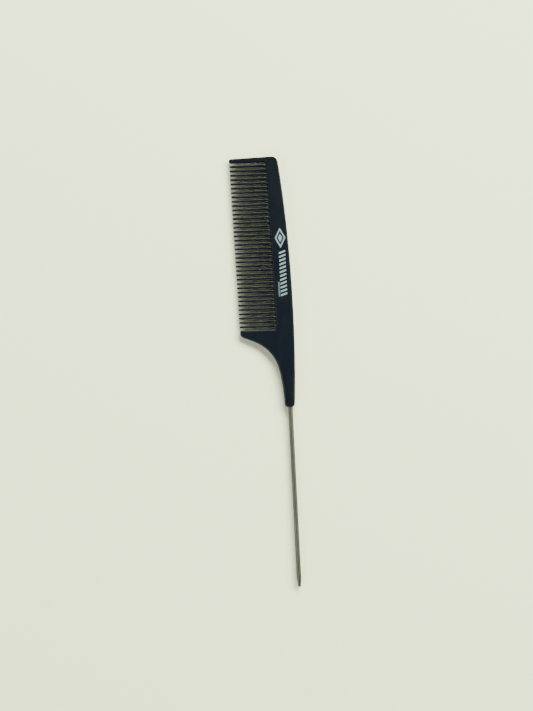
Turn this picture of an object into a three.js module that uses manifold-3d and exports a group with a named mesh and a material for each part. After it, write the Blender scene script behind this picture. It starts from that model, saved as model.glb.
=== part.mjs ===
// Rat tail comb: a moulded plastic comb with a fine row of teeth, a hooked heel,
// a slim handle and a straight steel tail pin moulded into the handle's end.
//
// Millimetres, +Z up. The comb lies flat on its side: the tail pin and the spine
// run along Y with the nose at +Y, the teeth point to -X, and Z is the thickness.
// The origin is the middle of the comb's box in plan, on the face it rests on.
//
// The moulding is one piece of plastic. Here it is divided where its shape changes,
// at the tooth roots and at two cuts across the handle, so that each tooth, the
// spine, the heel and the handle are solids of their own and the gaps stay open.

import * as THREE from 'three';
import { mergeVertices } from 'three/addons/utils/BufferGeometryUtils.js';
import Module from 'manifold-3d';

const wasm = await Module();
wasm.setup();

// ---- driving dimensions -------------------------------------------------------
// Plan positions are x from the pin's axis (+ towards the back) and y from the
// handle's end (+ towards the nose), until the whole comb is moved to its origin.

const MOULDING_LENGTH = 131;
const PIN_EXPOSED = 94;
const THICKNESS = 4.4;
const MID_HEIGHT = THICKNESS / 2;
const EDGE_ROUNDING = 0.7;
const EDGE_SEGMENTS = 3;

const HANDLE_LEFT = -2.95;
const HANDLE_RIGHT = 2.5;
const HANDLE_END_RADIUS = 1.8;

const HEEL_TOP = 41;
const HEEL_TIP = -24.3;
const HEEL_TIP_BOTTOM = 38.6;
const HEEL_TIP_THICKNESS = 2.4;
const HEEL_CORNER_RADIUS = 0.9;
const TAPER_START = -4.6;
const HANDLE_TOP = 24;

const NOSE_CORNER_RADIUS = 3;

const TOOTH_COUNT = 38;
const TOOTH_PITCH = 2.263;
const FIRST_TOOTH = 42.85;
const TOOTH_LENGTH = 19.2;
const TOOTH_ROOT_WIDTH = 1.25;
const TOOTH_TIP_WIDTH_SHARE = 0.84;
const TOOTH_ROOT_THICKNESS = 3.2;
const TOOTH_TIP_THICKNESS = 2.0;
const TOOTH_TIP_ROUNDING = 0.5;
const TOOTH_TIP_STEPS = 3;
const TOOTH_SIDES = 12;
const TOOTH_GAP = TOOTH_PITCH - TOOTH_ROOT_WIDTH;

const ROOT_LINE_START = -5.17;
const ROOT_LINE_SLOPE = 0.0135;
const ROOT_CLEARANCE = 0.03;

const PIN_RADIUS = 1.2;
const PIN_EMBEDDED = 22;
const PIN_TAPER_LENGTH = 6;
const PIN_TIP_RADIUS = 0.8;
const PIN_SIDES = 20;
const GROOVE_POSITIONS = [8, 12, 16];
const GROOVE_WIDTH = 1.6;
const GROOVE_DEPTH = 0.25;
const SOCKET_CLEARANCE = 0.05;

const CURVE_SEGMENTS = 22;
const ARC_SEGMENTS = 5;

// A reach past every side of the comb, for the blocks that cut it.
const FAR = 200;

const PLASTIC = { color: 0x171c23, roughness: 0.42, metalness: 0 };
const STEEL = { color: 0xa9a9a4, roughness: 0.3, metalness: 1 };

// ---- curves of the plan outline -------------------------------------------------

const QUARTER = Math.PI / 2;

const rootLine = (y) => ROOT_LINE_START - (y - HEEL_TOP) * ROOT_LINE_SLOPE;

// The back bows out gently between the handle and the nose.
const backCurve = new THREE.CubicBezierCurve(
  new THREE.Vector2(HANDLE_RIGHT, HANDLE_END_RADIUS),
  new THREE.Vector2(5.25, 40.6),
  new THREE.Vector2(4.5, 89.4),
  new THREE.Vector2(-0.1, MOULDING_LENGTH - NOSE_CORNER_RADIUS),
);

// The throat sweeps from the tip of the heel down into the slim handle.
const throatCurve = new THREE.CubicBezierCurve(
  new THREE.Vector2(-22.8, 37.2),
  new THREE.Vector2(-8.5, 31.7),
  new THREE.Vector2(-3.85, 28.4),
  new THREE.Vector2(HANDLE_LEFT, HANDLE_END_RADIUS),
);

function curvePoints(curve) {
  return curve.getPoints(CURVE_SEGMENTS);
}

// A quarter turn, counterclockwise from startAngle.
function arcPoints(centreX, centreY, radius, startAngle) {
  const arc = new THREE.EllipseCurve(centreX, centreY, radius, radius, startAngle, startAngle + QUARTER);
  return arc.getPoints(ARC_SEGMENTS);
}

// ---- from geometry to solid and back --------------------------------------------

function solidFrom(geometry) {
  const bare = geometry.clone();
  bare.deleteAttribute('normal');
  bare.deleteAttribute('uv');
  const merged = mergeVertices(bare);
  return new wasm.Manifold(new wasm.Mesh({
    numProp: 3,
    vertProperties: Float32Array.from(merged.attributes.position.array),
    triVerts: Uint32Array.from(merged.index.array),
  }));
}

function geometryFrom(solid) {
  const { vertProperties, triVerts } = solid.getMesh();
  const indexed = new THREE.BufferGeometry();
  indexed.setAttribute('position', new THREE.BufferAttribute(vertProperties, 3));
  indexed.setIndex(new THREE.BufferAttribute(triVerts, 1));
  const geometry = indexed.toNonIndexed();
  geometry.computeVertexNormals();
  return geometry;
}

// A block from y = low to y = high that is wider and thicker than the comb.
function sliceBlock(low, high) {
  const block = new THREE.BoxGeometry(FAR, high - low, FAR);
  block.translate(0, (low + high) / 2, 0);
  return solidFrom(block);
}

// ---- the moulding without its teeth ---------------------------------------------

function bodyOutline() {
  const noseMiddle = MOULDING_LENGTH - NOSE_CORNER_RADIUS;
  const noseBack = backCurve.getPoint(1).x;
  const heelCorner = HEEL_TIP + HEEL_CORNER_RADIUS;
  const endRight = HANDLE_RIGHT - HANDLE_END_RADIUS;
  const endLeft = HANDLE_LEFT + HANDLE_END_RADIUS;
  return new THREE.Shape([
    ...arcPoints(endRight, HANDLE_END_RADIUS, HANDLE_END_RADIUS, -QUARTER),
    ...curvePoints(backCurve).slice(1),
    ...arcPoints(noseBack - NOSE_CORNER_RADIUS, noseMiddle, NOSE_CORNER_RADIUS, 0).slice(1),
    new THREE.Vector2(rootLine(MOULDING_LENGTH), MOULDING_LENGTH),
    new THREE.Vector2(rootLine(HEEL_TOP), HEEL_TOP),
    ...arcPoints(heelCorner, HEEL_TOP - HEEL_CORNER_RADIUS, HEEL_CORNER_RADIUS, QUARTER),
    new THREE.Vector2(HEEL_TIP, HEEL_TIP_BOTTOM),
    ...curvePoints(throatCurve),
    ...arcPoints(endLeft, HANDLE_END_RADIUS, HANDLE_END_RADIUS, 2 * QUARTER).slice(1),
  ]);
}

function bodyPlate() {
  const plate = new THREE.ExtrudeGeometry(bodyOutline(), {
    depth: THICKNESS - 2 * EDGE_ROUNDING,
    bevelThickness: EDGE_ROUNDING,
    bevelSize: EDGE_ROUNDING,
    bevelOffset: -EDGE_ROUNDING,
    bevelSegments: EDGE_SEGMENTS,
  });
  plate.translate(0, 0, EDGE_ROUNDING);
  return solidFrom(plate);
}

// Seen along the comb: full thickness at the spine and handle, thinning evenly
// from the tooth roots to the tip of the heel.
function taperedBlock() {
  const tipHalf = HEEL_TIP_THICKNESS / 2;
  const profile = new THREE.Shape([
    new THREE.Vector2(FAR, 0),
    new THREE.Vector2(FAR, THICKNESS),
    new THREE.Vector2(TAPER_START, THICKNESS),
    new THREE.Vector2(HEEL_TIP, MID_HEIGHT + tipHalf),
    new THREE.Vector2(-FAR, MID_HEIGHT + tipHalf),
    new THREE.Vector2(-FAR, MID_HEIGHT - tipHalf),
    new THREE.Vector2(HEEL_TIP, MID_HEIGHT - tipHalf),
    new THREE.Vector2(TAPER_START, 0),
  ]);
  const block = new THREE.ExtrudeGeometry(profile, { depth: 2 * FAR, bevelEnabled: false });
  block.translate(0, 0, -FAR);
  block.rotateX(QUARTER);
  return solidFrom(block);
}

// ---- tail pin ---------------------------------------------------------------------

// The pin's outline from its free tip up to its anchored end. The socket that holds
// it has the same outline, grown by a small clearance.
function pinProfile(grow) {
  const radius = PIN_RADIUS + grow;
  const grooveRadius = radius - GROOVE_DEPTH;
  const grooveHalf = GROOVE_WIDTH / 2 - grow;
  const tipRadius = PIN_TIP_RADIUS + grow;
  const tip = arcPoints(0, -PIN_EXPOSED + PIN_TIP_RADIUS, tipRadius, -QUARTER);
  tip[0].x = 0;
  const grooves = GROOVE_POSITIONS.flatMap((middle) => [
    new THREE.Vector2(radius, middle - grooveHalf),
    new THREE.Vector2(grooveRadius, middle - grooveHalf),
    new THREE.Vector2(grooveRadius, middle + grooveHalf),
    new THREE.Vector2(radius, middle + grooveHalf),
  ]);
  return [
    ...tip,
    new THREE.Vector2(radius, -PIN_EXPOSED + PIN_TAPER_LENGTH),
    ...grooves,
    new THREE.Vector2(radius, PIN_EMBEDDED + grow),
    new THREE.Vector2(0, PIN_EMBEDDED + grow),
  ];
}

function pinGeometry(grow = 0) {
  const geometry = new THREE.LatheGeometry(pinProfile(grow), PIN_SIDES);
  geometry.translate(0, 0, MID_HEIGHT);
  return geometry;
}

// ---- teeth --------------------------------------------------------------------------

// A rod of radius 1 along +Y, with a rounded tip. A tooth is this rod, squeezed.
function unitTooth() {
  const shoulder = TOOTH_LENGTH - TOOTH_TIP_ROUNDING;
  const profile = [new THREE.Vector2(0, 0), new THREE.Vector2(1, 0)];
  for (let step = 0; step < TOOTH_TIP_STEPS; step += 1) {
    const angle = (step / TOOTH_TIP_STEPS) * QUARTER;
    profile.push(new THREE.Vector2(Math.cos(angle), shoulder + TOOTH_TIP_ROUNDING * Math.sin(angle)));
  }
  profile.push(new THREE.Vector2(0, TOOTH_LENGTH));
  return new THREE.LatheGeometry(profile, TOOTH_SIDES);
}

// A tooth along +Y from its root: oval in section, and thinning both ways to its tip.
function toothGeometry(rootWidth) {
  const geometry = unitTooth();
  const points = geometry.attributes.position;
  for (let index = 0; index < points.count; index += 1) {
    const along = points.getY(index) / TOOTH_LENGTH;
    const width = THREE.MathUtils.lerp(rootWidth, rootWidth * TOOTH_TIP_WIDTH_SHARE, along);
    const thickness = THREE.MathUtils.lerp(TOOTH_ROOT_THICKNESS, TOOTH_TIP_THICKNESS, along);
    points.setX(index, (points.getX(index) * width) / 2);
    points.setZ(index, (points.getZ(index) * thickness) / 2);
  }
  return geometry;
}

// The root line leans, so a square-ended tooth starts where its higher corner meets it.
function toothRoot(y, width) {
  return rootLine(y + width / 2) - ROOT_CLEARANCE;
}

// Stands a tooth on the spine's root line at height y, pointing to -X.
function toothMesh(name, y, width) {
  const tooth = mesh(name, toothGeometry(width), PLASTIC);
  tooth.position.set(toothRoot(y, width), y, MID_HEIGHT);
  tooth.rotation.z = QUARTER;
  return tooth;
}

function fineTeeth() {
  const teeth = [];
  for (let index = 0; index < TOOTH_COUNT; index += 1) {
    const name = `tooth_${String(index + 1).padStart(2, '0')}`;
    const y = FIRST_TOOTH + index * TOOTH_PITCH;
    teeth.push(toothMesh(name, y, TOOTH_ROOT_WIDTH));
  }
  return teeth;
}

// ---- the comb ------------------------------------------------------------------------

// The guard tooth fills what is left between the last fine tooth's gap and the nose.
function guardWidth() {
  const lastTooth = FIRST_TOOTH + (TOOTH_COUNT - 1) * TOOTH_PITCH;
  return MOULDING_LENGTH - lastTooth - TOOTH_ROOT_WIDTH / 2 - TOOTH_GAP;
}

function mesh(name, geometry, finish) {
  const piece = new THREE.Mesh(geometry, new THREE.MeshStandardMaterial(finish));
  piece.name = name;
  return piece;
}

function mouldedBody() {
  const body = bodyPlate().intersect(taperedBlock());
  return body.subtract(solidFrom(pinGeometry(SOCKET_CLEARANCE)));
}

function bodyPieces() {
  const body = mouldedBody();
  const cuts = { tail_handle: [-FAR, HANDLE_TOP], heel: [HANDLE_TOP, HEEL_TOP], spine: [HEEL_TOP, FAR] };
  return Object.entries(cuts).map(([name, [low, high]]) => {
    return mesh(name, geometryFrom(body.intersect(sliceBlock(low, high))), PLASTIC);
  });
}

const guardMiddle = MOULDING_LENGTH - guardWidth() / 2;
const teethReach = toothRoot(guardMiddle, guardWidth()) - TOOTH_LENGTH;
const backReach = Math.max(...curvePoints(backCurve).map((point) => point.x));

const comb = new THREE.Group();
comb.add(...bodyPieces());
comb.add(mesh('tail_pin', pinGeometry(), STEEL));
comb.add(...fineTeeth());
comb.add(toothMesh('front_guard_tooth', guardMiddle, guardWidth()));
comb.position.set(-(backReach + teethReach) / 2, -(MOULDING_LENGTH - PIN_EXPOSED) / 2, 0);

export default comb;
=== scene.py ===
"""The looks of a rat tail comb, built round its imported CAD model.

The comb lies flat: its tail pin and spine run along Y with the nose at +Y, its
teeth point to -X, and Z is its thickness. The plastic moulding is one smooth
piece here, grown from a coarse cage of four-sided faces: a ring of points at each
station along the spine and handle, with the heel, the guard tooth and every fine
tooth growing out of the rings' front faces. All lengths are in metres.
"""

import math

import bmesh
import bpy
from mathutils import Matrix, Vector


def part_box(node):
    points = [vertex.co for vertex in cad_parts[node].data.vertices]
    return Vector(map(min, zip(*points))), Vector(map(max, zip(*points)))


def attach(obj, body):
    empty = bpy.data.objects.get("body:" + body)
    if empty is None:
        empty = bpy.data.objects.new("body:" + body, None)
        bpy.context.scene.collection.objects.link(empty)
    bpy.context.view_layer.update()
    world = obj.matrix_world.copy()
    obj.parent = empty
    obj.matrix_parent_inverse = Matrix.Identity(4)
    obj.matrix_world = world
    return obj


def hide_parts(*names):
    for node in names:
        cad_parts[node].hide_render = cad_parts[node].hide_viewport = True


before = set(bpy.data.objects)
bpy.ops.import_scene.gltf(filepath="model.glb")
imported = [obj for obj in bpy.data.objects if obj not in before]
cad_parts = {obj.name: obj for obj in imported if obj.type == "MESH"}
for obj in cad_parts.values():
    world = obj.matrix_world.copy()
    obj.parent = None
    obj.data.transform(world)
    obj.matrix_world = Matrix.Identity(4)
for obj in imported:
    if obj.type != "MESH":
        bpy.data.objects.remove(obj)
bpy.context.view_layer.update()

MM = 0.001

# ---- places taken from the frame ------------------------------------------------
# Comb places are (u, v, w): u across from the pin's axis towards the back, v along
# from the handle's end towards the nose, w up from the middle of the thickness.

spine_low, spine_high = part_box("spine")
heel_low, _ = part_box("heel")
handle_low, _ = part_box("tail_handle")
pin_low, pin_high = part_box("tail_pin")

ORIGIN = Vector((
    (pin_low.x + pin_high.x) / 2,
    handle_low.y,
    (spine_low.z + spine_high.z) / 2,
))
HALF = spine_high.z - ORIGIN.z
NOSE = spine_high.y - ORIGIN.y
HEEL_TOP = spine_low.y - ORIGIN.y
HEEL_TIP = heel_low.x - ORIGIN.x
PIN_RADIUS = (pin_high.x - pin_low.x) / 2
PIN_TIP = pin_low.y - ORIGIN.y
PIN_ANCHOR = pin_high.y - ORIGIN.y

# ---- driving dimensions of the moulding ------------------------------------------

HANDLE_LEFT = -2.95 * MM
HANDLE_RIGHT = 2.5 * MM
HANDLE_END_ALONG = 1.6 * MM
HANDLE_END_ACROSS = 1.9 * MM
HANDLE_END_UP = 0.6 * MM
HEEL_BOTTOM = 22.8 * MM
NOSE_RADIUS = 3.0 * MM

# Each curve is four control points, as (u, v), from one end to the other.
BACK_CURVE = (
    Vector((HANDLE_RIGHT, HANDLE_END_ALONG)),
    Vector((5.25 * MM, 40.6 * MM)),
    Vector((4.5 * MM, 89.4 * MM)),
    Vector((-0.1 * MM, NOSE - NOSE_RADIUS)),
)
THROAT_CURVE = (
    Vector((-22.8 * MM, 37.2 * MM)),
    Vector((-8.5 * MM, 31.7 * MM)),
    Vector((-3.85 * MM, 28.4 * MM)),
    Vector((HANDLE_LEFT, HANDLE_END_ALONG)),
)

TAPER_START = -4.6 * MM
HEEL_TIP_HALF = 1.2 * MM


def tooth_boxes():
    """The CAD boxes of the fine teeth, from the heel to the nose."""
    names = sorted(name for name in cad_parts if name.startswith("tooth_"))
    return [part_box(name) for name in names]


TEETH = tooth_boxes()


# ---- curves ------------------------------------------------------------------------

ACROSS, ALONG = 0, 1

# Enough halvings to find a place on a curve to the last digit.
HALVINGS = 40


def bezier(curve, t):
    """The (u, v) point at the share t along a cubic curve."""
    s = 1 - t
    start, start_pull, end_pull, end = curve
    return start * s ** 3 + start_pull * (3 * s * s * t) + end_pull * (3 * s * t * t) + end * t ** 3


def share_at(curve, axis, value):
    """The share t along a curve that rises or falls steadily, where it passes value."""
    low, high = 0.0, 1.0
    rising = curve[-1][axis] > curve[0][axis]
    for _ in range(HALVINGS):
        middle = (low + high) / 2
        if (bezier(curve, middle)[axis] < value) == rising:
            low = middle
        else:
            high = middle
    return (low + high) / 2


def root_line(v):
    """Where the teeth start, as u at a height v along the comb."""
    first_low, first_high = TEETH[0]
    last_low, last_high = TEETH[-1]
    first_v = (first_low.y + first_high.y) / 2 - ORIGIN.y
    last_v = (last_low.y + last_high.y) / 2 - ORIGIN.y
    slope = (last_high.x - first_high.x) / (last_v - first_v)
    return first_high.x - ORIGIN.x + slope * (v - first_v)


def rounded_inset(distance, along, across):
    """How far an elliptical corner stands in from its edge, this far from the end."""
    if distance >= along:
        return 0.0
    return across * (1 - math.sqrt(1 - (1 - distance / along) ** 2))


def back_edge(v):
    """The bowed back of the spine and handle, as u at v."""
    if v > NOSE - NOSE_RADIUS:
        return BACK_CURVE[-1].x - rounded_inset(NOSE - v, NOSE_RADIUS, NOSE_RADIUS)
    if v < HANDLE_END_ALONG:
        return HANDLE_RIGHT - rounded_inset(v, HANDLE_END_ALONG, HANDLE_END_ACROSS)
    return bezier(BACK_CURVE, share_at(BACK_CURVE, ALONG, v)).x


def front_edge(v):
    """Where the rings end at the front: the root line, and the throat under the heel."""
    if v > HEEL_BOTTOM:
        return root_line(v)
    if v < HANDLE_END_ALONG:
        return HANDLE_LEFT + rounded_inset(v, HANDLE_END_ALONG, HANDLE_END_ACROSS)
    return bezier(THROAT_CURVE, share_at(THROAT_CURVE, ALONG, v)).x


def smooth_step(value, start, end):
    """0 up to start and 1 from end on, with a smooth rise between them."""
    t = min(max((value - start) / (end - start), 0.0), 1.0)
    return t * t * (3 - 2 * t)


def taper(u):
    """Half the thickness of the heel at u, thinning evenly towards its tip."""
    t = (TAPER_START - u) / (TAPER_START - HEEL_TIP)
    return HALF + (HEEL_TIP_HALF - HALF) * min(max(t, 0.0), 1.0)


# ---- the cage of the moulding ------------------------------------------------------

# Where the rings stand, as v.
HEEL_STATIONS = [HEEL_BOTTOM, 24.3 * MM, 28 * MM, 32 * MM, 36.4 * MM, 39.8 * MM, HEEL_TOP]
HANDLE_STATIONS = [0.2 * MM, 0.55 * MM, 1.1 * MM, 2 * MM, 5 * MM, 9 * MM, 13.5 * MM, 18.2 * MM]

# A ring runs from the middle of the back over the upper side to the front, and back
# underneath. Three of its points stand at the front.
RING_POINTS = 16
MIDDLE_FRONT = RING_POINTS // 2
UPPER_FRONT = MIDDLE_FRONT - 1
LOWER_FRONT = MIDDLE_FRONT + 1

# Half a section from back to front, as (share across, share of the half thickness).
FLAT_SECTION = [
    (0.0, 0.0), (0.0, 0.74), (0.035, 1.0), (0.12, 1.0), (0.45, 1.0),
    (0.8, 1.0), (0.93, 1.0), (1.0, 1.0), (1.0, 0.0),
]
OVAL_SQUARENESS = 0.5
OVAL_SWELL = 1.025
FLAT_FROM = 8 * MM
FLAT_BY = 30 * MM

# How high the front corner stands, as a share of the half thickness.
ROOT_SHARE = 0.74
UPPER_EDGE_SHARE = 0.97
THROAT_EDGE_SHARE = 0.9


def oval_section():
    """The handle's section: an oval a little squarer than an ellipse."""
    points = []
    for step in range(MIDDLE_FRONT + 1):
        angle = 2 * math.pi * step / RING_POINTS
        across = math.copysign(abs(math.cos(angle)) ** OVAL_SQUARENESS, math.cos(angle))
        up = abs(math.sin(angle)) ** OVAL_SQUARENESS
        points.append(((1 - across * OVAL_SWELL) / 2, up * OVAL_SWELL))
    return points


def front_share(v):
    """The front corner: low at the tooth roots, full inside the heel, eased elsewhere."""
    if v > HEEL_TOP:
        return ROOT_SHARE
    if v == HEEL_TOP:
        return UPPER_EDGE_SHARE
    if v > HEEL_BOTTOM:
        return 1.0
    return THROAT_EDGE_SHARE


def section(v):
    """The ring of (u, v, w) points round the moulding at v, starting at the back."""
    back = back_edge(v)
    front = front_edge(v)
    half = HALF - rounded_inset(v, HANDLE_END_UP, HANDLE_END_UP)
    flat = smooth_step(v, FLAT_FROM, FLAT_BY)
    upper = []
    for index, (oval, level) in enumerate(zip(oval_section(), FLAT_SECTION)):
        up = front_share(v) if index == UPPER_FRONT else level[1]
        across = oval[0] + (level[0] - oval[0]) * flat
        height = oval[1] + (up - oval[1]) * flat
        upper.append(Vector((back + (front - back) * across, v, half * height)))
    lower = [Vector((p.x, p.y, -p.z)) for p in reversed(upper[1:-1])]
    return upper + lower


class Cage:
    """Points and faces of the coarse mesh, in (u, v, w)."""

    def __init__(self):
        self.points = []
        self.faces = []
        self.creases = []

    def add(self, points):
        """Takes in new points and gives their numbers."""
        start = len(self.points)
        self.points.extend(points)
        return list(range(start, len(self.points)))

    def band(self, ring, next_ring):
        """Faces between two closed rings of the same number of points."""
        count = len(ring)
        for k in range(count):
            after = (k + 1) % count
            self.faces.append((ring[k], ring[after], next_ring[after], next_ring[k]))

    def rows(self, ring):
        """A ring's upper side, a new row midway and its lower side, from back to front."""
        half = len(ring) // 2
        upper = ring[:half + 1]
        lower = [ring[0]] + ring[:half - 1:-1]
        middle = [ring[0]]
        for k in range(1, half):
            place = (self.points[upper[k]] + self.points[lower[k]]) / 2
            middle += self.add([place])
        middle.append(ring[half])
        return upper, middle, lower


def build_body(cage, stations, gaps):
    """Rings at each station, joined by faces except at the front inside the gaps."""
    rings = [cage.add(section(v)) for v in stations]
    for index in range(len(rings) - 1):
        low, high = rings[index], rings[index + 1]
        for k in range(RING_POINTS):
            is_front = k in (UPPER_FRONT, MIDDLE_FRONT)
            if is_front and any(first <= index < last for first, last in gaps):
                continue
            after = (k + 1) % RING_POINTS
            cage.faces.append((low[k], low[after], high[after], high[k]))
    return rings


def close_end(cage, ring):
    """Four-sided faces over an end ring: a row above and a row below the middle."""
    upper, middle, lower = cage.rows(ring)
    for side in (upper, lower):
        cage.faces.append((side[0], side[1], side[2], middle[2]))
        for k in range(2, len(side) - 3):
            cage.faces.append((side[k], side[k + 1], middle[k + 1], middle[k]))
        cage.faces.append((side[-3], side[-2], side[-1], middle[-3]))


def branch_ring(rings, first, last):
    """The ring round the opening left at the front between two stations."""
    span = range(first, last + 1)
    upper = [rings[i][UPPER_FRONT] for i in span]
    lower = [rings[i][LOWER_FRONT] for i in reversed(span)]
    return upper + [rings[last][MIDDLE_FRONT]] + lower + [rings[first][MIDDLE_FRONT]]


TOOTH_COLUMNS = 2
TOOTH_CREASE = 0.45


def crease_corners(cage, ring, next_ring, columns):
    """Keeps a tooth's four long edges tight, so that its flats stay flat."""
    for k in (0, columns - 1, columns + 1, 2 * columns):
        cage.creases.append((ring[k], next_ring[k]))


def grow_branch(cage, root_ring, slices):
    """Grows a tooth or the heel through slices, each a row of (u, v, half height)."""
    ring = root_ring
    for row in slices:
        upper = [Vector((u, v, half)) for u, v, half in row]
        lower = [Vector((u, v, -half)) for u, v, half in reversed(row)]
        high_middle = Vector((row[-1][0], row[-1][1], 0))
        low_middle = Vector((row[0][0], row[0][1], 0))
        next_ring = cage.add(upper + [high_middle] + lower + [low_middle])
        cage.band(ring, next_ring)
        if len(row) == TOOTH_COLUMNS and ring is not root_ring:
            crease_corners(cage, ring, next_ring, len(row))
        ring = next_ring
    cap_branch(cage, ring, len(slices[-1]))


def cap_branch(cage, ring, columns):
    """Closes the last ring of a tooth or the heel, through a row of points midway."""
    upper = ring[:columns]
    lower = ring[columns + 1:2 * columns + 1][::-1]
    middle = [ring[-1]]
    for k in range(1, columns - 1):
        middle += cage.add([(cage.points[upper[k]] + cage.points[lower[k]]) / 2])
    middle.append(ring[columns])
    for k in range(columns - 1):
        cage.faces.append((upper[k], upper[k + 1], middle[k + 1], middle[k]))
        cage.faces.append((middle[k], middle[k + 1], lower[k + 1], lower[k]))


# Down a tooth from its root, as (share of its length, how full its section is there).
TOOTH_ROWS = [
    (0.02, 1.03), (0.08, 1.0), (0.3, 1.0), (0.55, 1.0), (0.8, 1.0), (0.95, 1.0),
    (0.983, 0.9), (1.003, 0.58),
]
TIP_WIDTH_SHARE = 0.86
TIP_HEIGHT_SHARE = 0.62
GUARD_LEAN = 0.3 * MM


def tooth_place(low, high):
    """The root, length and half height of the tooth that fills a CAD box."""
    return high.x - ORIGIN.x, high.x - low.x, (high.z - low.z) / 2


def thinned(full, tip_share, along):
    """A size that thins evenly from full at the root to a share of it at the tip."""
    return full * (1 - (1 - tip_share) * along)


def tooth_slices(low, high):
    """Rows of two points down a fine tooth."""
    root, length, half_height = tooth_place(low, high)
    middle = (low.y + high.y) / 2 - ORIGIN.y
    half_width = (high.y - low.y) / 2
    slices = []
    for along, fullness in TOOTH_ROWS:
        u = root - length * along
        width = thinned(half_width, TIP_WIDTH_SHARE, along) * fullness
        height = thinned(half_height, TIP_HEIGHT_SHARE, along) * fullness
        slices.append([(u, middle - width, height), (u, middle + width, height)])
    return slices


def guard_slices(stations):
    """Rows down the wide guard tooth at the nose, whose outer edge leans in a little."""
    root, length, half_height = tooth_place(*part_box("front_guard_tooth"))
    full_width = stations[-1] - stations[0]
    slices = []
    for along, fullness in TOOTH_ROWS:
        u = root - length * along
        width = thinned(full_width, TIP_WIDTH_SHARE, along)
        height = thinned(half_height, TIP_HEIGHT_SHARE, along) * fullness
        outer = stations[-1] - GUARD_LEAN * along
        middle = outer - width / 2
        row = []
        for v in stations:
            across = (v - stations[0]) / full_width - 0.5
            row.append((u, middle + across * width * fullness, height))
        slices.append(row)
    return slices


# The heel's rows, as u where each meets the upper edge, and then the last one at the
# tip, as the stretch of v that it spans.
HEEL_ROWS = [-7 * MM, -10 * MM, -13.3 * MM, -16.6 * MM, -19.5 * MM, -22 * MM, -23.6 * MM]
HEEL_TIP_LOW = 38.4 * MM
HEEL_TIP_HIGH = HEEL_TOP - 0.15 * MM
HEEL_TIP_SHARE = 0.8


def heel_slices(stations):
    """Rows down the heel from its root to its hooked tip, from throat to upper edge."""
    columns = len(stations)
    slices = []
    for upper_u in HEEL_ROWS:
        throat = bezier(THROAT_CURVE, share_at(THROAT_CURVE, ACROSS, upper_u))
        evenness = smooth_step(upper_u, HEEL_ROWS[0], HEEL_ROWS[-1])
        row = []
        for k, v in enumerate(stations):
            share = (v - stations[0]) / (stations[-1] - stations[0])
            across = share + (k / (columns - 1) - share) * evenness
            place = throat.lerp(Vector((upper_u, HEEL_TOP)), across)
            row.append((place.x, place.y, taper(place.x) * heel_edge_share(k, columns)))
        slices.append(row)
    tip_step = (HEEL_TIP_HIGH - HEEL_TIP_LOW) / (columns - 1)
    tip_half = HEEL_TIP_HALF * HEEL_TIP_SHARE
    slices.append([(HEEL_TIP, HEEL_TIP_LOW + tip_step * k, tip_half) for k in range(columns)])
    return slices


def heel_edge_share(column, columns):
    """The heel's two long edges are lower than its flat, so that they come out rounded."""
    if column == 0:
        return THROAT_EDGE_SHARE
    if column == columns - 1:
        return UPPER_EDGE_SHARE
    return 1.0


SOCKET_GAP = 0.06 * MM
SOCKET_FLOOR = PIN_ANCHOR + 0.3 * MM

# Into the socket, as (gap round the pin, depth): a rounded mouth and a straight bore.
SOCKET_ROWS = [
    (0.24 * MM, 0.05 * MM), (0.16 * MM, 0.0), (0.09 * MM, 0.12 * MM),
    (SOCKET_GAP, 0.4 * MM), (SOCKET_GAP, 4 * MM), (SOCKET_GAP, SOCKET_FLOOR),
]


def build_socket(cage, ring):
    """The end of the handle turned in round the pin, down to the socket's floor."""
    for gap, depth in SOCKET_ROWS:
        radius = PIN_RADIUS + gap
        points = []
        for k in range(RING_POINTS):
            angle = 2 * math.pi * k / RING_POINTS
            points.append(Vector((radius * math.cos(angle), depth, radius * math.sin(angle))))
        next_ring = cage.add(points)
        cage.band(ring, next_ring)
        ring = next_ring
    close_end(cage, ring)


# The last ring but one stands close to the nose, so that the nose's edge is tight.
NOSE_EDGE = 0.5 * MM


def moulding_cage():
    """The rings of the body, and the heel, teeth and socket that grow out of them."""
    cage = Cage()
    tooth_edges = []
    for low, high in TEETH:
        tooth_edges += [low.y - ORIGIN.y, high.y - ORIGIN.y]
    guard_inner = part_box("front_guard_tooth")[0].y - ORIGIN.y
    guard_stations = [guard_inner, (guard_inner + NOSE) / 2, NOSE - NOSE_EDGE, NOSE]
    stations = HANDLE_STATIONS + HEEL_STATIONS + tooth_edges + guard_stations

    heel_first = len(HANDLE_STATIONS)
    heel_last = heel_first + len(HEEL_STATIONS) - 1
    branches = [(heel_first, heel_last, heel_slices(HEEL_STATIONS))]
    for index, (low, high) in enumerate(TEETH):
        first = heel_last + 1 + 2 * index
        branches.append((first, first + 1, tooth_slices(low, high)))
    guard_first = len(stations) - len(guard_stations)
    branches.append((guard_first, len(stations) - 1, guard_slices(guard_stations)))

    gaps = [(first, last) for first, last, _ in branches]
    rings = build_body(cage, stations, gaps)
    for first, last, slices in branches:
        grow_branch(cage, branch_ring(rings, first, last), slices)
    close_end(cage, rings[-1])
    build_socket(cage, rings[0])
    return cage


# ---- meshes ------------------------------------------------------------------------

SHARP_ANGLE = math.radians(40)
SMOOTHING_LEVELS = 2


def place_object(name, mesh, place=ORIGIN):
    """An object for a mesh whose points are comb places, unless place says otherwise."""
    thing = bpy.data.objects.new(name, mesh)
    thing.location = place
    bpy.context.scene.collection.objects.link(thing)
    return thing


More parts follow.
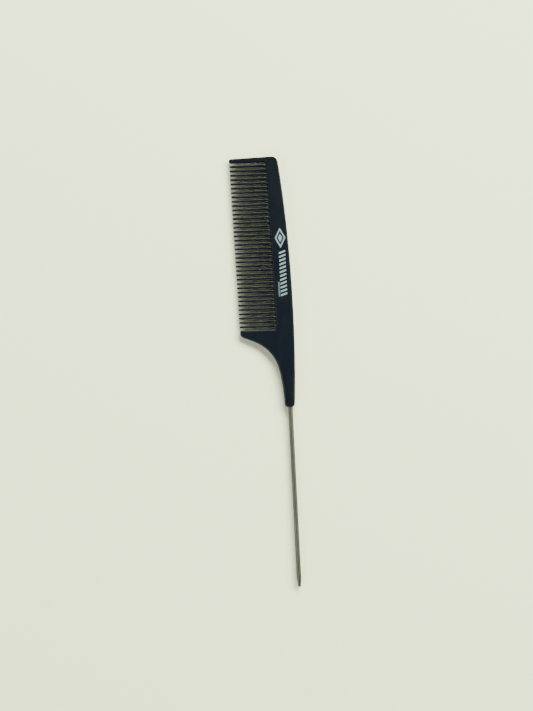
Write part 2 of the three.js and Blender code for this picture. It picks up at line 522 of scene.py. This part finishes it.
def mesh_from(name, points, faces, creases=()):
    """A smooth-shaded mesh with its faces pointing out and no unused points."""
    mesh = bpy.data.meshes.new(name)
    mesh.from_pydata([tuple(point) for point in points], [], faces)
    shell = bmesh.new()
    shell.from_mesh(mesh)
    shell.verts.ensure_lookup_table()
    crease = shell.edges.layers.float.new("crease_edge")
    for start, end in creases:
        shell.edges.get((shell.verts[start], shell.verts[end]))[crease] = TOOTH_CREASE
    bmesh.ops.delete(shell, geom=[v for v in shell.verts if not v.link_faces], context="VERTS")
    bmesh.ops.recalc_face_normals(shell, faces=shell.faces)
    for face in shell.faces:
        face.smooth = True
    shell.to_mesh(mesh)
    shell.free()
    return mesh


def build_moulding():
    """The whole plastic moulding: the cage, smoothed into one closed surface."""
    cage = moulding_cage()
    mesh = mesh_from("comb_moulding", cage.points, cage.faces, cage.creases)
    thing = place_object("comb_moulding", mesh)
    smoothing = thing.modifiers.new("fine surface", "SUBSURF")
    smoothing.levels = SMOOTHING_LEVELS
    smoothing.render_levels = SMOOTHING_LEVELS
    return thing


# ---- the tail pin --------------------------------------------------------------------

PIN_SIDES = 48
PIN_TIP_RADIUS = 0.8 * MM
PIN_TIP_STEPS = 8
PIN_TAPER_LENGTH = 6 * MM
PIN_TAPER_STEPS = 6
PIN_SHANK_STEPS = 60
PIN_GROOVES = [8 * MM, 12 * MM, 16 * MM]
PIN_GROOVE_HALF = 0.8 * MM
PIN_GROOVE_DEPTH = 0.25 * MM
PIN_END_BEVEL = 0.15 * MM


def pin_profile():
    """(radius, v) along the pin from its free tip to its anchored end."""
    profile = []
    for step in range(PIN_TIP_STEPS + 1):
        angle = math.pi / 2 * step / PIN_TIP_STEPS
        v = PIN_TIP + PIN_TIP_RADIUS * (1 - math.cos(angle))
        profile.append((PIN_TIP_RADIUS * math.sin(angle), v))
    taper_start = PIN_TIP + PIN_TIP_RADIUS
    taper_end = PIN_TIP + PIN_TAPER_LENGTH
    for step in range(1, PIN_TAPER_STEPS + 1):
        share = step / PIN_TAPER_STEPS
        bulge = math.sin(math.pi / 2 * share)
        radius = PIN_TIP_RADIUS + (PIN_RADIUS - PIN_TIP_RADIUS) * bulge
        profile.append((radius, taper_start + (taper_end - taper_start) * share))
    first_groove = PIN_GROOVES[0] - PIN_GROOVE_HALF
    for step in range(1, PIN_SHANK_STEPS):
        share = step / PIN_SHANK_STEPS
        profile.append((PIN_RADIUS, taper_end + (first_groove - taper_end) * share))
    for middle in PIN_GROOVES:
        floor = PIN_RADIUS - PIN_GROOVE_DEPTH
        profile.append((PIN_RADIUS, middle - PIN_GROOVE_HALF))
        profile.append((floor, middle - PIN_GROOVE_HALF))
        profile.append((floor, middle + PIN_GROOVE_HALF))
        profile.append((PIN_RADIUS, middle + PIN_GROOVE_HALF))
    profile.append((PIN_RADIUS, PIN_ANCHOR - PIN_END_BEVEL))
    profile.append((PIN_RADIUS - PIN_END_BEVEL, PIN_ANCHOR))
    profile.append((0.0, PIN_ANCHOR))
    return profile


def revolve(profile, sides):
    """Points and faces of a profile turned round the v axis, from axis to axis."""
    points = [Vector((0, profile[0][1], 0))]
    faces = []
    for radius, v in profile[1:-1]:
        for k in range(sides):
            angle = 2 * math.pi * k / sides
            points.append(Vector((radius * math.cos(angle), v, radius * math.sin(angle))))
    points.append(Vector((0, profile[-1][1], 0)))
    rings = len(profile) - 2
    last = len(points) - 1
    for k in range(sides):
        after = (k + 1) % sides
        faces.append((0, 1 + k, 1 + after))
        for ring in range(rings - 1):
            low = 1 + ring * sides
            high = low + sides
            faces.append((low + k, low + after, high + after, high + k))
        top = 1 + (rings - 1) * sides
        faces.append((top + k, top + after, last))
    return points, faces


def build_pin():
    """The steel pin in one piece, from its free tip to its end in the socket."""
    mesh = mesh_from("tail_pin_rod", *revolve(pin_profile(), PIN_SIDES))
    mesh.set_sharp_from_angle(angle=SHARP_ANGLE)
    return place_object("tail_pin_rod", mesh)


# ---- printed mark, ejector marks and gate ------------------------------------------------

INK_PROUD = 0.02 * MM
INK_SUNK = 0.02 * MM
LOZENGE_CENTRE = Vector((-0.95 * MM, 88.3 * MM))
LOZENGE_OUTER = Vector((2.8 * MM, 5.25 * MM))
LOZENGE_INNER = 0.72
LOZENGE_CORE = 0.42
BAR_COUNT = 12
BAR_FIRST = 80.9 * MM
BAR_PITCH = 2.0 * MM
BAR_THICKNESS = 0.95 * MM
BAR_SIDES = (-2.0 * MM, 1.35 * MM)
BAR_SLANT = 1.1 * MM
TICK_COUNT = 13
TICK_FIRST = 65.3 * MM
TICK_PITCH = 0.6 * MM
TICK_THICKNESS = 0.25 * MM
TICK_SIDES = (-3.15 * MM, -2.35 * MM)

MARK_SIDES = 48
MARK_SUNK = 0.1 * MM
EJECTOR_RADIUS = 1.2 * MM
EJECTOR_PROUD = 0.03 * MM
EJECTOR_PLACES = [
    Vector((-1.7 * MM, 121 * MM)), Vector((-0.9 * MM, 98 * MM)), Vector((-0.5 * MM, 75 * MM)),
    Vector((-0.5 * MM, 52 * MM)), Vector((-6.5 * MM, 36.5 * MM)), Vector((0.2 * MM, 27 * MM)),
]

GATE_PLACE = -3.6 * MM
GATE_HALF_LENGTH = 0.9 * MM
GATE_HALF_HEIGHT = 0.5 * MM
GATE_PROUD = 0.08 * MM


def circle(centre, radius):
    """A round outline."""
    angles = [2 * math.pi * k / MARK_SIDES for k in range(MARK_SIDES)]
    return [centre + Vector((math.cos(a), math.sin(a))) * radius for a in angles]


def lozenge(share):
    """The lozenge's four-pointed outline, at a share of its full size."""
    u, v = LOZENGE_OUTER * share
    return [LOZENGE_CENTRE + Vector(corner) for corner in ((u, 0), (0, v), (-u, 0), (0, -v))]


def add_disc(cage, outline, low, high):
    """A thin slab with this outline, between two heights."""
    bottom = cage.add([Vector((p.x, p.y, low)) for p in outline])
    top = cage.add([Vector((p.x, p.y, high)) for p in outline])
    cage.faces.append(tuple(reversed(bottom)))
    cage.faces.append(tuple(top))
    cage.band(bottom, top)


def add_washer(cage, inner, outer, low, high):
    """A thin flat ring between two outlines, between two heights."""
    rings = []
    for outline, height in ((inner, low), (outer, low), (outer, high), (inner, high)):
        rings.append(cage.add([Vector((p.x, p.y, height)) for p in outline]))
    for k, ring in enumerate(rings):
        cage.band(ring, rings[(k + 1) % len(rings)])


def bar_outline(v, sides, thickness, slant):
    """A bar across the spine at v, its back end further towards the nose by the slant."""
    low, high = sides
    half = thickness / 2
    lean = slant / 2
    return [
        Vector((low, v - half - lean)), Vector((high, v - half + lean)),
        Vector((high, v + half + lean)), Vector((low, v + half - lean)),
    ]


def build_print():
    """A generic mark in place of the printed one: a lozenge, slanted bars and ticks."""
    cage = Cage()
    low, high = HALF - INK_SUNK, HALF + INK_PROUD
    add_washer(cage, lozenge(LOZENGE_INNER), lozenge(1.0), low, high)
    add_disc(cage, lozenge(LOZENGE_CORE), low, high)
    for index in range(BAR_COUNT):
        bar = bar_outline(BAR_FIRST - BAR_PITCH * index, BAR_SIDES, BAR_THICKNESS, BAR_SLANT)
        add_disc(cage, bar, low, high)
    for index in range(TICK_COUNT):
        tick = bar_outline(TICK_FIRST - TICK_PITCH * index, TICK_SIDES, TICK_THICKNESS, 0.0)
        add_disc(cage, tick, low, high)
    mesh = mesh_from("spine_print", cage.points, cage.faces)
    mesh.set_sharp_from_angle(angle=SHARP_ANGLE)
    return place_object("spine_print", mesh)


def build_mould_marks():
    """The ejector pins' round marks underneath and the sheared gate on the nose."""
    cage = Cage()
    for centre in EJECTOR_PLACES:
        add_disc(cage, circle(centre, EJECTOR_RADIUS), -HALF - EJECTOR_PROUD, -HALF + MARK_SUNK)
    gate = []
    for k in range(MARK_SIDES):
        angle = 2 * math.pi * k / MARK_SIDES
        u = GATE_PLACE + GATE_HALF_LENGTH * math.cos(angle)
        gate.append((u, GATE_HALF_HEIGHT * math.sin(angle)))
    inside = cage.add([Vector((u, NOSE - MARK_SUNK, w)) for u, w in gate])
    outside = cage.add([Vector((u, NOSE + GATE_PROUD, w)) for u, w in gate])
    cage.faces.append(tuple(reversed(inside)))
    cage.faces.append(tuple(outside))
    cage.band(inside, outside)
    mesh = mesh_from("mould_marks", cage.points, cage.faces)
    mesh.set_sharp_from_angle(angle=SHARP_ANGLE)
    return place_object("mould_marks", mesh)


# ---- materials -------------------------------------------------------------------------

# The middle range that most of a noise's values lie in.
NOISE_LOW = 0.3
NOISE_HIGH = 0.7


class Material:
    """A node material with one Principled shader, and short calls for its nodes."""

    def __init__(self, name):
        self.material = bpy.data.materials.new(name)
        self.material.use_nodes = True
        self.tree = self.material.node_tree
        self.shader = self.tree.nodes["Principled BSDF"]

    def set(self, **values):
        """Sets sockets of the shader that are the same all over, by name."""
        for name, value in values.items():
            self.shader.inputs[name.replace("_", " ")].default_value = value

    def link(self, source, target):
        """Joins an output to an input."""
        self.tree.links.new(source, target)

    def node(self, kind, **inputs):
        """A new node with these inputs, by name."""
        node = self.tree.nodes.new(kind)
        for name, value in inputs.items():
            node.inputs[name.replace("_", " ")].default_value = value
        return node

    def place(self, stretch=(1, 1, 1)):
        """The object's own coordinates, in metres, stretched along each axis."""
        coordinates = self.tree.nodes.new("ShaderNodeTexCoord")
        mapping = self.node("ShaderNodeMapping", Scale=stretch)
        self.link(coordinates.outputs["Object"], mapping.inputs["Vector"])
        return mapping.outputs["Vector"]

    def noise(self, scale, detail=2.0, roughness=0.5, stretch=(1, 1, 1)):
        """A noise over the object's own coordinates."""
        texture = self.node("ShaderNodeTexNoise", Scale=scale, Detail=detail, Roughness=roughness)
        self.link(self.place(stretch), texture.inputs["Vector"])
        return texture.outputs["Fac"]

    def spread(self, value, low, high, source_low=NOISE_LOW, source_high=NOISE_HIGH):
        """Maps a range of values, usually a noise's middle range, to low..high."""
        node = self.node("ShaderNodeMapRange")
        node.inputs["From Min"].default_value = source_low
        node.inputs["From Max"].default_value = source_high
        node.inputs["To Min"].default_value = low
        node.inputs["To Max"].default_value = high
        self.link(value, node.inputs["Value"])
        return node.outputs["Result"]

    def colours(self, value, dark, light):
        """Sets the shader's base colour between dark and light, by a noise."""
        ramp = self.tree.nodes.new("ShaderNodeValToRGB")
        ramp.color_ramp.elements[0].position = NOISE_LOW
        ramp.color_ramp.elements[1].position = NOISE_HIGH
        ramp.color_ramp.elements[0].color = (*dark, 1)
        ramp.color_ramp.elements[1].color = (*light, 1)
        self.link(value, ramp.inputs["Fac"])
        self.link(ramp.outputs["Color"], self.shader.inputs["Base Color"])

    def bump(self, height, distance, strength, under=None):
        """Relief this high, on top of the relief under it."""
        node = self.node("ShaderNodeBump", Distance=distance, Strength=strength)
        self.link(height, node.inputs["Height"])
        if under is not None:
            self.link(under, node.inputs["Normal"])
        return node.outputs["Normal"]


PARTING_LINE_HALF = 0.05 * MM


def parting_line(material):
    """1 along the thin line left where the two halves of the mould met, 0 elsewhere."""
    split = material.tree.nodes.new("ShaderNodeSeparateXYZ")
    material.link(material.place(), split.inputs["Vector"])
    distance = material.tree.nodes.new("ShaderNodeMath")
    distance.operation = "ABSOLUTE"
    material.link(split.outputs["Z"], distance.inputs[0])
    value = distance.outputs["Value"]
    return material.spread(value, low=1.0, high=0.0, source_low=0.0, source_high=PARTING_LINE_HALF)


PLASTIC_DARK = (0.0023, 0.0035, 0.0082)
PLASTIC_LIGHT = (0.0033, 0.0048, 0.0108)
PLASTIC_IOR = 1.42
PLASTIC_SPECULAR = 0.33


def plastic_material():
    """Satin black plastic: a fine moulded grain, faint flow marks and handling haze."""
    plastic = Material("black_plastic")
    cloud = plastic.noise(scale=60, detail=3, roughness=0.6, stretch=(1, 0.35, 1))
    plastic.colours(cloud, PLASTIC_DARK, PLASTIC_LIGHT)
    haze = plastic.noise(scale=220, detail=4, roughness=0.6, stretch=(1, 0.5, 1))
    gloss = plastic.spread(haze, low=0.25, high=0.32)
    plastic.link(gloss, plastic.shader.inputs["Roughness"])
    pores = plastic.noise(scale=7000)
    grain = plastic.bump(pores, distance=0.004 * MM, strength=0.5)
    waves = plastic.noise(scale=180, stretch=(1, 0.3, 1))
    flow = plastic.bump(waves, distance=0.02 * MM, strength=0.35, under=grain)
    normal = plastic.bump(parting_line(plastic), distance=0.02 * MM, strength=0.8, under=flow)
    plastic.link(normal, plastic.shader.inputs["Normal"])
    plastic.set(IOR=PLASTIC_IOR, Specular_IOR_Level=PLASTIC_SPECULAR)
    return plastic.material


STEEL_DARK = (0.083, 0.084, 0.081)
STEEL_LIGHT = (0.117, 0.119, 0.115)
STEEL_EDGE_TINT = (0.2, 0.2, 0.2, 1)


def steel_material():
    """Drawn stainless rod: fine lines along it, with a little tarnish in patches."""
    steel = Material("drawn_steel")
    tarnish = steel.noise(scale=350, detail=3, roughness=0.6, stretch=(1, 0.15, 1))
    steel.colours(tarnish, STEEL_DARK, STEEL_LIGHT)
    lines = steel.noise(scale=9000, detail=3, roughness=0.6, stretch=(1, 0.012, 1))
    gloss = steel.spread(lines, low=0.38, high=0.5)
    steel.link(gloss, steel.shader.inputs["Roughness"])
    normal = steel.bump(lines, distance=0.003 * MM, strength=0.5)
    steel.link(normal, steel.shader.inputs["Normal"])
    steel.set(Metallic=1.0, Specular_Tint=STEEL_EDGE_TINT)
    return steel.material


INK_DARK = (0.14, 0.19, 0.26)
INK_LIGHT = (0.2, 0.262, 0.35)
INK_METALLIC = 0.3


def ink_material():
    """Silver-grey pad-print ink: fine metal flakes, a slight texture and uneven gloss."""
    ink = Material("silver_ink")
    flakes = ink.noise(scale=5200, detail=3, roughness=0.7)
    ink.colours(flakes, INK_DARK, INK_LIGHT)
    patches = ink.noise(scale=900, detail=3, roughness=0.6)
    gloss = ink.spread(patches, low=0.38, high=0.55)
    ink.link(gloss, ink.shader.inputs["Roughness"])
    texture = ink.noise(scale=6000)
    normal = ink.bump(texture, distance=0.004 * MM, strength=0.4)
    ink.link(normal, ink.shader.inputs["Normal"])
    ink.set(Metallic=INK_METALLIC)
    return ink.material


# ---- the comb ----------------------------------------------------------------------------

def build_comb():
    """Every piece of the comb, with its material, its body and the CAD nodes it replaces."""
    plastic = plastic_material()

    moulding = build_moulding()
    moulding.data.materials.append(plastic)
    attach(moulding, "root")
    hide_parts(*[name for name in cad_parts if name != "tail_pin"])

    marks = build_mould_marks()
    marks.data.materials.append(plastic)
    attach(marks, "root")

    pin = build_pin()
    pin.data.materials.append(steel_material())
    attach(pin, "root")
    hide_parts("tail_pin")

    mark = build_print()
    mark.data.materials.append(ink_material())
    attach(mark, "root")


# ---- floor, lights and camera --------------------------------------------------------------

FLOOR_HALF = 4.0
CARD_DARK = (0.785, 0.828, 0.66)
CARD_LIGHT = (0.815, 0.858, 0.69)
CARD_ROUGHNESS = 0.85


def build_floor():
    """A pale matt card under the comb."""
    low, high = -FLOOR_HALF, FLOOR_HALF
    corners = [(low, low, 0), (high, low, 0), (high, high, 0), (low, high, 0)]
    floor = place_object("floor", mesh_from("floor", corners, [(0, 1, 2, 3)]), Vector())
    card = Material("pale_card")
    fibres = card.noise(scale=900, detail=3, roughness=0.6)
    card.colours(fibres, CARD_DARK, CARD_LIGHT)
    card.set(Roughness=CARD_ROUGHNESS)
    floor.data.materials.append(card.material)


KEY_PLACE = Vector((0.88, 1.24, 1.25))
KEY_WIDTH = 2.6
KEY_HEIGHT = 0.9
KEY_POWER = 223
KEY_COLOUR = (0.95, 1.05, 0.72)
FILL_PLACE = Vector((-1.29, -0.9, 1.23))
FILL_WIDTH = 1.8
FILL_HEIGHT = 0.9
FILL_POWER = 34
FILL_COLOUR = (0.98, 1, 0.9)


def build_softbox(name, place, width, height, power, colour):
    """A softbox facing the comb."""
    light = bpy.data.lights.new(name, "AREA")
    light.shape = "RECTANGLE"
    light.size = width
    light.size_y = height
    light.energy = power
    light.color = colour
    lamp = bpy.data.objects.new(name, light)
    lamp.location = place
    lamp.rotation_euler = (-place).to_track_quat("-Z", "Y").to_euler()
    bpy.context.scene.collection.objects.link(lamp)


def build_lights():
    """A long key light off the nose's back corner, and a weak fill opposite it."""
    build_softbox("key", KEY_PLACE, KEY_WIDTH, KEY_HEIGHT, KEY_POWER, KEY_COLOUR)
    build_softbox("fill", FILL_PLACE, FILL_WIDTH, FILL_HEIGHT, FILL_POWER, FILL_COLOUR)


# The walls' top and the ceiling's edge are the upward part of a direction: 0 is level
# and 1 is straight up.
WALL_COLOUR = (0.96, 0.95, 0.87, 1)
WALL_GLOW = 1.4
CEILING_GLOW = 0.04
WALL_TOP = 0.12
CEILING_EDGE = 0.4


def build_world():
    """Pale studio walls all round that fade up into a dark ceiling."""
    world = bpy.data.worlds.new("studio")
    world.use_nodes = True
    tree = world.node_tree
    background = tree.nodes["Background"]
    background.inputs["Color"].default_value = WALL_COLOUR
    direction = tree.nodes.new("ShaderNodeTexCoord")
    split = tree.nodes.new("ShaderNodeSeparateXYZ")
    fade = tree.nodes.new("ShaderNodeMapRange")
    fade.interpolation_type = "SMOOTHSTEP"
    fade.inputs["From Min"].default_value = WALL_TOP
    fade.inputs["From Max"].default_value = CEILING_EDGE
    fade.inputs["To Min"].default_value = WALL_GLOW
    fade.inputs["To Max"].default_value = CEILING_GLOW
    tree.links.new(direction.outputs["Generated"], split.inputs["Vector"])
    tree.links.new(split.outputs["Z"], fade.inputs["Value"])
    tree.links.new(fade.outputs["Result"], background.inputs["Strength"])
    bpy.context.scene.world = world


# The picture takes in this height at the comb, and its middle is at this comb place.
VIEW_HEIGHT = 371 * MM
VIEW_MIDDLE = Vector((-11.1 * MM, 27.5 * MM, 0))
VIEW_ROLL = math.radians(-2.9)
LENS_MM = 85.0
SENSOR_MM = 36.0
CLIP_START = 10 * MM


def build_camera():
    """Straight above the comb, which leans a little in the frame."""
    camera = bpy.data.cameras.new("photo_view")
    camera.lens = LENS_MM
    camera.sensor_width = SENSOR_MM
    camera.clip_start = CLIP_START
    thing = bpy.data.objects.new("photo_view", camera)
    distance = VIEW_HEIGHT * LENS_MM / SENSOR_MM
    thing.location = ORIGIN + VIEW_MIDDLE + Vector((0, 0, distance))
    thing.rotation_euler = (0, 0, VIEW_ROLL)
    bpy.context.scene.collection.objects.link(thing)
    bpy.context.scene.camera = thing


build_comb()
build_floor()
build_lights()
build_world()
build_camera()
